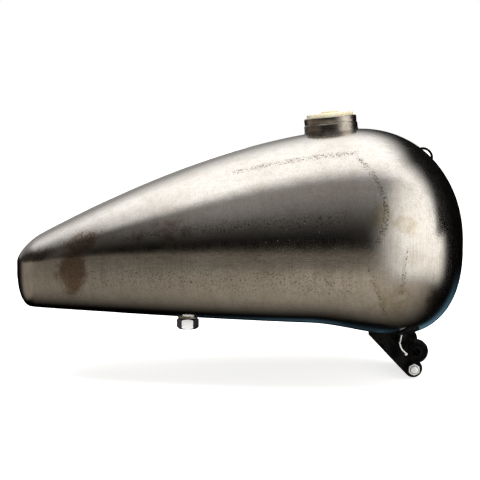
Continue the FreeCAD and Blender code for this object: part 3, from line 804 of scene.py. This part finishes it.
def hex_body(name, start, direction, length, flats, bores, chamfer, first_corner):
    """Hexagonal bar with turned-down corners; bores are (radius, from, to, sink at each end) in mm."""
    corner = flats / math.sqrt(3.0)
    spoke = Vector((1, 0, 0))
    verts = []
    for height in (0.0, length):
        for i in range(6):
            turn = Matrix.Rotation(math.radians(first_corner + 60.0 * i), 3, direction)
            verts.append(start + direction * height + turn @ (spoke * corner))
    faces = [tuple(range(5, -1, -1)), tuple(range(6, 12))]
    faces += [(i, (i + 1) % 6, 6 + (i + 1) % 6, 6 + i) for i in range(6)]
    obj = new_object(name, verts, faces, 30.0)
    weld_points(obj, 0.001)
    face = 0.47 * flats
    drum = lathe(name + "_drum", [(0.0, 0.0), (face, 0.0), (corner + 0.05, chamfer),
                                  (corner + 0.05, length - chamfer), (face, length), (0.0, length)],
                 start, direction, 96)
    boolean(obj, drum, "INTERSECT")
    for radius, low, high, low_sink, high_sink in bores:
        profile = [(0.0, low), (radius + low_sink, low), (radius, low + low_sink), (radius, high - high_sink),
                   (radius + high_sink, high), (0.0, high)]
        if low == 0.0:
            profile[:2] = [(0.0, -1.0), (radius + low_sink + 1.0, -1.0)]
        if high == length:
            profile[-2:] = [(radius + high_sink + 1.0, high + 1.0), (0.0, high + 1.0)]
        boolean(obj, lathe(name + "_bore", profile, start, direction, 64), "DIFFERENCE")
    edge = obj.modifiers.new("edge", "BEVEL")
    edge.width = 0.25 * MM
    edge.segments = 2
    edge.angle_limit = math.radians(25.0)
    apply_modifiers(obj, 50.0)
    return obj


def threaded_bar(name, start, direction, length, radius, pitch, depth, plain=0.0, around=40):
    """Bar whose surface is a screw thread beyond its plain part, with a coned end."""
    turn = Vector((0, 0, 1)).rotation_difference(direction).to_matrix()
    rows = int(length / pitch * 8)
    verts = []
    for i in range(rows + 1):
        height = length * i / rows
        cone = clamp01((length - height) / 1.2)
        for j in range(around):
            share = (height / pitch - j / around) % 1.0
            cut = depth * abs(2.0 * share - 1.0) if height > plain else 0.0
            r = (radius - cut) * blend(cone, 0.80, 1.0)
            angle = 2.0 * math.pi * j / around
            verts.append(turn @ Vector((r * math.cos(angle), r * math.sin(angle), height)) + start)
    faces = grid_faces(rows + 1, around, closed=True)
    faces.append(tuple(reversed(range(around))))
    faces.append(tuple(range(rows * around, (rows + 1) * around)))
    return new_object(name, verts, faces, 50.0)


UNION_LENGTH = 14.0      # union nut of the fuel tap
UNION_FLATS = 25.0
TIE_FLATS = 14.3         # tie bolt's head and nut, across flats
TIE_NUT_LENGTH = 8.4
TIE_HEAD_LENGTH = 6.4
TIE_CHAMFER = 1.4
TIE_RADIUS = 4.7
TIE_PITCH = 1.5875
TIE_THREAD = 26.0        # threaded length


def fasteners():
    """Union nut of the fuel tap; tie bolt with its nut."""
    up = Vector((0, 0, 1))
    tap = axis_of("tap_nut")
    base = Vector((tap.x, tap.y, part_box("tap_nut")[0].z / MM))
    bores = ((8.3, 0.0, 6.2, 0.9, 0.0), (10.4, 6.0, UNION_LENGTH, 0.0, 0.9))
    union = hex_body("tap_union_nut", base, up, UNION_LENGTH, UNION_FLATS, bores, 2.2, 0.0)
    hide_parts("tap_nut")
    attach(union, "tap_nut")

    outward = Vector((0, -1, 0))
    axis = axis_of("tie_nut")
    face = -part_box("tie_nut")[1].y / MM
    bore = ((4.75, 0.0, TIE_NUT_LENGTH, 1.3, 1.3),)
    nut = hex_body("tie_hex_nut", Vector((axis.x, -face, axis.z)), outward, TIE_NUT_LENGTH, TIE_FLATS,
                   bore, TIE_CHAMFER, 30.0)
    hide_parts("tie_nut")
    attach(nut, "tie_nut")

    low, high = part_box("tie_bolt")
    head_end = high.y / MM
    head = hex_body("tie_bolt_head", Vector((axis.x, head_end, axis.z)), outward, TIE_HEAD_LENGTH,
                    TIE_FLATS, (), TIE_CHAMFER, 30.0)
    start = Vector((axis.x, head_end - 3.0, axis.z))
    length = start.y - low.y / MM
    shank = threaded_bar("tie_bolt_shank", start, outward, length, TIE_RADIUS, TIE_PITCH, 0.75,
                         plain=length - TIE_THREAD)
    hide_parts("tie_bolt")
    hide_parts("tie_bolt")
    for obj in (head, shank):
        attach(obj, "tie_bolt")
    return [union, nut, head, shank]


STRAP_BEND_Y = 53.2      # where the strap turns down, and the height of its outer face there
STRAP_BEND_Z = 10.5
STRAP_SLOPE = 0.512
STRAP_RUN = (88.0, 54.0)


def strut_edge_highlights():
    """Painted highlight along each strut's edge: a thin bright bead down its outer face, hooked forward at
    its lower end.
    """
    beads = []
    for label, side in (("right", -1.0), ("left", 1.0)):
        # down the strap's slope, then straight down its lug and forward
        knots = [(-24.5 + 2.5 * share, blend(share, *STRAP_RUN), STRAP_BEND_Z + STRAP_SLOPE
                  * (blend(share, *STRAP_RUN) - STRAP_BEND_Y)) for share in (0.0, 0.35, 0.7, 1.0)]
        knots += [(-19.0, STRAP_BEND_Y, 3.0), (-13.0, STRAP_BEND_Y, -3.0)]
        path = smooth_path([(x, side * y, z) for x, y, z in knots], 90)
        # bright bead and drop are a painted highlight along the strut's edge
        highlight_bead = tube("strut_edge_highlight_" + label, path, 0.9, ripple=0.12, ripple_length=2.0, seed=21 + side)
        highlight_drop = lathe("strut_highlight_drop_" + label, [(0.0, -1.7)] + arc((0.0, 0.0), 2.1, -50.0, 90.0, 8),
                     Vector((-13.4, side * 52.8, -3.2)), Vector((0, side, 0)), 24)
        for obj in (highlight_bead, highlight_drop):
            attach(obj, "tank")
            beads.append(obj)
    return beads


def weld(name, points, radius, closed=False, seed=0):
    obj = tube(name, points, radius, closed=closed, ripple=0.35, ripple_length=1.3 * radius, seed=seed)
    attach(obj, "tank")
    return obj


def tunnel_welds():
    """Beads where the skin's lower edges meet the tunnel's walls."""
    beads = []
    nose_end = ridge_meets_tunnel(0.0, NOSE_X)
    tail_end = ridge_meets_tunnel(-300.0, TAIL_X)
    for label, side in (("right", -1.0), ("left", 1.0)):
        points = []
        for i in range(620):
            turn = blend(i / 619.0, 0.02, math.pi - 0.02)
            x = blend(0.5 - 0.5 * math.cos(turn), tail_end, nose_end)
            out, up, _ = trimmed_section(x, 8)
            points.append(Vector((x, side * out[0], up[0])))
        even = even_path(points, 0.9)
        beads.append(weld("tunnel_weld_" + label, even, 1.5, seed=3 + side))
    return beads


def even_path(points, spacing):
    """The same path with evenly spaced points."""
    runs = [0.0]
    for a, b in zip(points, points[1:]):
        runs.append(runs[-1] + (b - a).length)
    count = max(int(runs[-1] / spacing), 3)
    places = np.linspace(0.0, runs[-1], count)
    columns = [np.interp(places, runs, [p[k] for p in points]) for k in range(3)]
    return [Vector(values) for values in zip(*columns)]


def neck_weld():
    """Ring where the neck meets the crowned skin."""
    points = []
    axis = neck_axis()
    forward = Vector((axis.z, 0.0, -axis.x))
    radius = 36.8
    for i in range(300):
        angle = 2.0 * math.pi * i / 300
        across = Vector((0, radius * math.sin(angle), 0))
        place = neck_point(0.0) + forward * (radius * math.cos(angle)) + across
        points.append(Vector((place.x, place.y, skin_top(place.x, place.y))))
    return weld("neck_weld", points, 1.1, closed=True, seed=9)


def skin_top(x, y):
    """Height of the crown of the skin above (x, y)."""
    share = clamp01(abs(y) / half_width(x))
    return belt_height(x) + ridge_rise(x) * (1.0 - share ** CROWN_POWER) ** (1.0 / CROWN_POWER)


def paint_nodes(finishes):
    for material, nodes in finishes:
        for node in nodes:
            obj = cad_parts[node]
            obj.data.materials.clear()
            obj.data.materials.append(material)


def give(objects, material):
    for obj in objects:
        obj.data.materials.clear()
        obj.data.materials.append(material)


# ---- stage, light and camera --------------------------------------------------------------------

FLOOR_Z = -36.0
FLOOR_GLOW = 0.72
CAMERA_AT = Vector((-232.4, -1600.0, 284.0))
CAMERA_AIM = Vector((-232.4, 0.0, 142.9))
CAMERA_ANGLE = 22.83


def floor():
    size = 30000.0       # far past the view
    corners = [(-size, -size, FLOOR_Z), (size, -size, FLOOR_Z), (size, size, FLOOR_Z), (-size, size, FLOOR_Z)]
    obj = new_object("floor", corners, [(0, 1, 2, 3)])
    tree = Tree("pale_floor")
    haze = tree.noise(tree.position(), 0.7, 2.0, 0.5)
    pale = tree.mix(haze, (0.86, 0.86, 0.86), (0.82, 0.82, 0.82))
    matt = tree.add("ShaderNodeBsdfDiffuse", {"Color": pale})
    glow = tree.add("ShaderNodeEmission", {"Color": (1.0, 1.0, 1.0, 1.0), "Strength": FLOOR_GLOW})
    both = tree.add("ShaderNodeAddShader", {0: matt.outputs[0], 1: glow.outputs[0]})
    tree.add("ShaderNodeOutputMaterial", {"Surface": both.outputs[0]})
    give([obj], tree.owner)
    # polished metal reflects the studio's own floor, which the world shader holds
    obj.visible_glossy = False


# What polished metal sees by angle about the X axis, in degrees: 0 is level towards the camera
# side, 90 overhead, 180 level behind, -90 straight down. Together these surfaces follow a
# brightness profile that was measured on the photograph.
TABLE = (0.48, 0.42, 0.34)           # brown table on the camera side
TABLE_NEAR = -130.0                  # its light grows from under the tank
TABLE_FAR = -15.0                    # up to its far edge
HORIZON = (-11.0, -3.0)              # dark gap above the table's edge
WALL = (0.32, 0.30, 0.28)            # dim wall, lighter with height
WALL_SPAN = (0.0, 60.0)
OVERHEAD = (1.72, 1.69, 1.64)        # long softbox overhead, with soft edges
OVERHEAD_FRONT = (56.0, 90.0)
OVERHEAD_BACK = (125.0, 180.0)
OFF_NOSE = (1.55, 1.48, 1.38)        # softbox off the nose
BACKDROP = (0.12, 0.24, 0.33)        # blue backdrop low behind


def studio():
    """White room for the camera; for reflections, a dark room with two softboxes."""
    tree = Tree("studio", world=True)
    direction = tree.add("ShaderNodeTexCoord").outputs["Generated"]
    x, y, z = tree.split(direction)
    toward = tree.math("MULTIPLY", y, -1.0)
    turn = tree.math("ARCTAN2", z, toward)
    degrees = tree.math("MULTIPLY", turn, 180.0 / math.pi)
    table = tree.math("MULTIPLY", tree.step(degrees, TABLE_NEAR, TABLE_FAR),
                      tree.math("SUBTRACT", 1.0, tree.step(degrees, *HORIZON)))
    wall = tree.step(degrees, *WALL_SPAN)
    overhead = tree.math("MULTIPLY", tree.step(degrees, *OVERHEAD_FRONT),
                         tree.math("SUBTRACT", 1.0, tree.step(degrees, *OVERHEAD_BACK)))
    light = tree.glow(TABLE, table)
    for colour, amount in ((WALL, wall), (OVERHEAD, overhead)):
        light = tree.add("ShaderNodeVectorMath", {0: light, 1: tree.glow(colour, amount)},
                         operation="MAXIMUM").outputs[0]

    above = tree.step(degrees, -14.0, 6.0)
    below = tree.math("SUBTRACT", 1.0, above)
    # the overhead softbox ends short of the tail, and stops earlier behind the nose
    tail_end = tree.fit(tree.step(x, -0.76, -0.36), 0.13, 0.87)
    rear_edge = tree.math("SUBTRACT", 168.0, tree.math("MULTIPLY", tree.math("MAXIMUM", x, 0.0), 105.0))
    rear_edge = tree.math("MAXIMUM", rear_edge, 106.0)
    past = tree.math("SUBTRACT", degrees, rear_edge)
    rear_end = tree.math("SUBTRACT", 1.0, tree.math("MULTIPLY", tree.step(past, -24.0, 22.0),
                                                    tree.step(x, -0.05, 0.08)))
    floor_end = tree.fit(tree.step(x, -0.75, 0.05), 0.56, 0.44)
    upper = tree.math("MULTIPLY", above, tree.math("MULTIPLY", tail_end, rear_end))
    lower = tree.math("MULTIPLY", below, floor_end)
    room = tree.add("ShaderNodeVectorMath", {0: light, "Scale": tree.math("ADD", upper, lower)},
                    operation="SCALE").outputs[0]

    # towards the tail there's only the table below and a dim wall
    end_wall = tree.add("ShaderNodeMix", {"Factor": tree.step(z, -0.12, 0.10)}, data_type="RGBA")
    tree.set(end_wall.inputs["A"], (0.31, 0.265, 0.215, 1.0))
    tree.set(end_wall.inputs["B"], (0.12, 0.10, 0.085, 1.0))
    sideways = tree.math("SUBTRACT", 1.0, tree.step(x, -0.90, -0.62))
    room = tree.mix(sideways, room, end_wall.outputs["Result"])

    off_nose = tree.math("MULTIPLY", tree.step(x, 0.24, 0.92), tree.step(z, -0.34, -0.08))
    off_nose = tree.math("MULTIPLY", off_nose, tree.math("SUBTRACT", 1.0, tree.step(degrees, 76.0, 128.0)))
    off_nose = tree.math("MULTIPLY", off_nose, tree.step(toward, -0.34, -0.10))
    side_box = tree.glow(OFF_NOSE, off_nose)
    # blue backdrop seen low behind the nose
    low = tree.step(tree.math("MULTIPLY", z, -1.0), 0.12, 0.42)
    behind = tree.math("MULTIPLY", tree.step(y, 0.62, 0.86), low)
    behind = tree.math("MULTIPLY", behind, tree.step(x, -0.12, 0.30))
    # it's narrow: only the skin's rim picks it up
    behind = tree.math("MULTIPLY", behind, tree.math("SUBTRACT", 1.0, tree.step(y, 0.86, 0.94)))
    backdrop = tree.glow(BACKDROP, behind)
    total = tree.add("ShaderNodeVectorMath", {0: room, 1: backdrop}, operation="ADD").outputs[0]
    total = tree.add("ShaderNodeVectorMath", {0: total, 1: side_box}, operation="MAXIMUM").outputs[0]
    reflected = tree.add("ShaderNodeBackground", {"Color": total, "Strength": 1.0})
    white = tree.add("ShaderNodeBackground", {"Color": (1.0, 1.0, 1.0, 1.0), "Strength": 1.0})
    path = tree.add("ShaderNodeLightPath")
    both = tree.add("ShaderNodeMixShader",
                    {0: path.outputs["Is Camera Ray"], 1: reflected.outputs[0], 2: white.outputs[0]})
    tree.add("ShaderNodeOutputWorld", {"Surface": both.outputs[0]})
    bpy.context.scene.world = tree.owner


def softbox(name, place, aim, size, power):
    """Area light for matt surfaces and the floor; mirrors see the studio instead."""
    data = bpy.data.lights.new(name, "AREA")
    data.shape = "RECTANGLE"
    data.size = size[0]
    data.size_y = size[1]
    data.energy = power
    obj = bpy.data.objects.new(name, data)
    bpy.context.scene.collection.objects.link(obj)
    obj.location = Vector(place) * MM
    obj.rotation_euler = (Vector(aim) - Vector(place)).to_track_quat("-Z", "Y").to_euler()
    obj.visible_glossy = False
    return obj


def camera():
    data = bpy.data.cameras.new("camera")
    data.angle = math.radians(CAMERA_ANGLE)
    data.clip_end = 100.0
    obj = bpy.data.objects.new("camera", data)
    bpy.context.scene.collection.objects.link(obj)
    obj.location = CAMERA_AT * MM
    obj.rotation_euler = (CAMERA_AIM - CAMERA_AT).to_track_quat("-Z", "Y").to_euler()
    bpy.context.scene.camera = obj


# ---- assembly -----------------------------------------------------------------------------------

def build():
    steel = skin_steel()
    plain_steel = plain_metal("plain_sheet_steel", (0.50, 0.47, 0.43), (0.36, 0.32, 0.28), 0.42)
    dark_steel = plain_metal("dark_turned_steel", (0.52, 0.49, 0.44), (0.30, 0.27, 0.24), 0.26, scale=90.0)
    bead_steel = plain_metal("weld_bead_steel", (0.42, 0.38, 0.33), (0.20, 0.17, 0.15), 0.38, scale=220.0)
    # bright zinc for the shank and rear sleeve; on the strut edges it is a painted highlight
    zinc_and_highlight = plain_metal("bright_zinc", (0.93, 0.93, 0.92), (0.80, 0.80, 0.79), 0.20, metallic=0.35,
                       scale=160.0, bump=0.06, speckle=0.1)
    black = painted_black()
    rubber = moulded_rubber()

    halves = [skin_half("skin_right", -1), skin_half("skin_left", 1)]
    for obj in halves:
        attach(obj, "tank")
    give(halves, steel)
    give([filler_neck()], dark_steel)
    give([filler_plug()], cream_plastic())
    give(tunnel_welds() + [neck_weld()], bead_steel)
    union_nut, tie_nut, bolt_head, shank = fasteners()
    # nuts and bolt head carry painted highlight and shade
    give([union_nut, tie_nut, bolt_head], nut_with_painted_light())
    # the strut edges' bright colour is a painted highlight
    give([shank] + strut_edge_highlights(), zinc_and_highlight)

    paint_nodes((
        (plain_steel, ("frame_tunnel", "front_baffle", "rear_baffle", "tap_spud")),
        (black, ("front_bracket_right", "front_bracket_left", "front_strut_right", "front_strut_left",
                 "front_foot_right", "front_foot_left", "cross_tube", "rear_bracket", "cable_loop",
                 "front_sleeve", "washer_nut_side", "washer_head_side")),
        (zinc_and_highlight, ("rear_sleeve",)),
        (rubber, ("isolator_right", "isolator_left", "rear_grommet")),
        (fibre(), ("tap_washer",)),
    ))

    floor()
    studio()
    softbox("overhead", (-250, -300, 1900), (-230, 0, 100), (2.6, 1.4), 42.0)
    softbox("front_fill", (-250, -2300, 900), (-230, 0, 100), (2.4, 1.2), 20.0)
    camera()
    bpy.context.scene.view_settings.view_transform = "Standard"


build()
